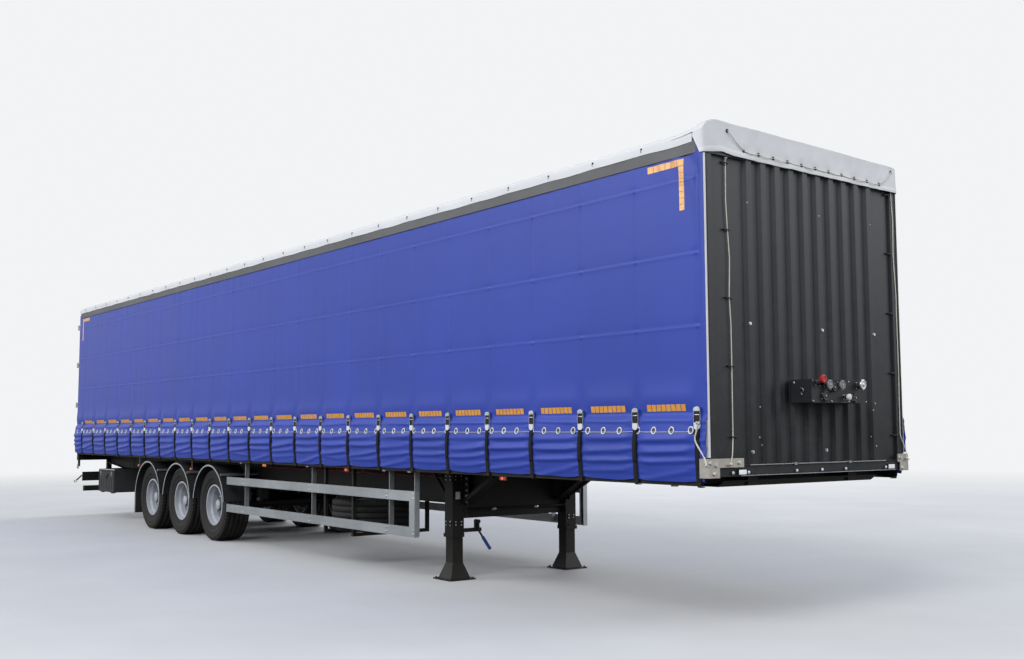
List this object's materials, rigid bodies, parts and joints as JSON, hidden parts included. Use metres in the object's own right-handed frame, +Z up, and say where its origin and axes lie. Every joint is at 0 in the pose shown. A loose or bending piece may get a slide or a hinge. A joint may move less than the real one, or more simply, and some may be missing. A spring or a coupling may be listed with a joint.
{
  "type": "curtain-sided semi-trailer",
  "caption": "Long curtain-sided semi-trailer on a beam chassis with a ribbed front wall, rear doors, wheels on single wide tyres, landing legs, side guards and a tool box.",
  "frame": {"origin": "On the ground under the centre of the whole trailer's bounding box", "axes": "+X towards the front wall and king pin, +Y to the trailer's left, +Z up"},
  "size_m": [17.114, 2.6282, 4],
  "materials": {
    "chassis_black": "satin black chassis paint",
    "floor_ply": "coated plywood",
    "bare_steel": "machined and greased",
    "wall_grey": "satin charcoal paint",
    "white_trim": "satin white",
    "galvanised": "dull galvanised",
    "console_grey": "satin grey",
    "coupling_plastic": "moulded",
    "rail_grey": "dark anodised",
    "roof_tarp": "coated polyester tarpaulin",
    "curtain_blue": "coated polyester tarpaulin",
    "strap_grey": "woven webbing with steel buckles",
    "door_grey": "satin charcoal paint",
    "air_spring_rubber": "smooth moulded",
    "guard_plastic": "moulded polyethylene",
    "aluminium": "mill finish",
    "box_plastic": "grained polyethylene",
    "lamp_plastic": "clear coloured lens",
    "cord_white": "braided polyester",
    "tyre": "matt black rubber",
    "wheel_silver": "silver wheel enamel"
  },
  "bodies": {
    "trailer": {"main_beams": "chassis_black", "cross_members": "chassis_black", "side_raves": "chassis_black", "floor": "floor_ply", "coupler_plate": "chassis_black", "king_pin": "bare_steel", "front_wall": "wall_grey", "front_frame": "wall_grey", "corner_trims": "white_trim", "corner_plates": "galvanised", "socket_console": "console_grey", "couplings": "coupling_plastic", "roof_rails": "rail_grey", "roof_bows": "aluminium", "roof_tarp": "roof_tarp", "front_cap": "roof_tarp", "curtain_left": "curtain_blue", "curtain_right": "curtain_blue", "straps_left": "strap_grey", "straps_right": "strap_grey", "side_pillars": "galvanised", "rear_posts": "chassis_black", "rear_frame": "chassis_black", "hinge_lugs": "galvanised", "axles": "chassis_black", "suspension_arms": "chassis_black", "air_springs": "air_spring_rubber", "mudguards": "guard_plastic", "mudguard_stays": "galvanised", "side_guards": "aluminium", "side_guard_posts": "galvanised", "landing_legs": "chassis_black", "leg_bracing": "chassis_black", "hanging_frames": "chassis_black", "tool_box": "box_plastic", "air_tanks": "chassis_black", "underrun": "chassis_black", "rear_lamps": "lamp_plastic", "marker_lamps": "lamp_plastic", "front_cords": "cord_white", "tie_rope": "cord_white", "spare_tyre": "tyre", "spare_rim": "wheel_silver"},
    "wheel_left_1": {"tyre_left_1": "tyre", "wheel_left_1": "wheel_silver"},
    "wheel_left_2": {"tyre_left_2": "tyre", "wheel_left_2": "wheel_silver"},
    "wheel_left_3": {"tyre_left_3": "tyre", "wheel_left_3": "wheel_silver"},
    "door_left": {"door_left": "door_grey", "door_gear_left": "galvanised"},
    "wheel_right_1": {"tyre_right_1": "tyre", "wheel_right_1": "wheel_silver"},
    "wheel_right_2": {"tyre_right_2": "tyre", "wheel_right_2": "wheel_silver"},
    "wheel_right_3": {"tyre_right_3": "tyre", "wheel_right_3": "wheel_silver"},
    "door_right": {"door_right": "door_grey", "door_gear_right": "galvanised"},
    "tool_box_lid": {"tool_box_lid": "box_plastic"}
  },
  "joints": [
    {"name": "wheel_left_1_spin", "type": "hinge", "parent": "trailer", "child": "wheel_left_1", "pos_m": [-1.711, 1.02, 0.52], "axis": [0, 1, 0], "continuous": true},
    {"name": "wheel_left_2_spin", "type": "hinge", "parent": "trailer", "child": "wheel_left_2", "pos_m": [-3.021, 1.02, 0.52], "axis": [0, 1, 0], "continuous": true},
    {"name": "wheel_left_3_spin", "type": "hinge", "parent": "trailer", "child": "wheel_left_3", "pos_m": [-4.331, 1.02, 0.52], "axis": [0, 1, 0], "continuous": true},
    {"name": "door_left_hinge", "type": "hinge", "parent": "trailer", "child": "door_left", "pos_m": [-8.546, 1.258, 2.5], "axis": [0, 0, -1], "range_deg": [0, 268]},
    {"name": "wheel_right_1_spin", "type": "hinge", "parent": "trailer", "child": "wheel_right_1", "pos_m": [-1.711, -1.02, 0.52], "axis": [0, 1, 0], "continuous": true},
    {"name": "wheel_right_2_spin", "type": "hinge", "parent": "trailer", "child": "wheel_right_2", "pos_m": [-3.021, -1.02, 0.52], "axis": [0, 1, 0], "continuous": true},
    {"name": "wheel_right_3_spin", "type": "hinge", "parent": "trailer", "child": "wheel_right_3", "pos_m": [-4.331, -1.02, 0.52], "axis": [0, 1, 0], "continuous": true},
    {"name": "door_right_hinge", "type": "hinge", "parent": "trailer", "child": "door_right", "pos_m": [-8.546, -1.258, 2.5], "axis": [0, 0, 1], "range_deg": [0, 268]},
    {"name": "tool_box_lid_hinge", "type": "hinge", "parent": "trailer", "child": "tool_box_lid", "pos_m": [-6.659, -1.19985, 0.497], "axis": [1, 0, 0], "range_deg": [0, 100]}
  ]
}
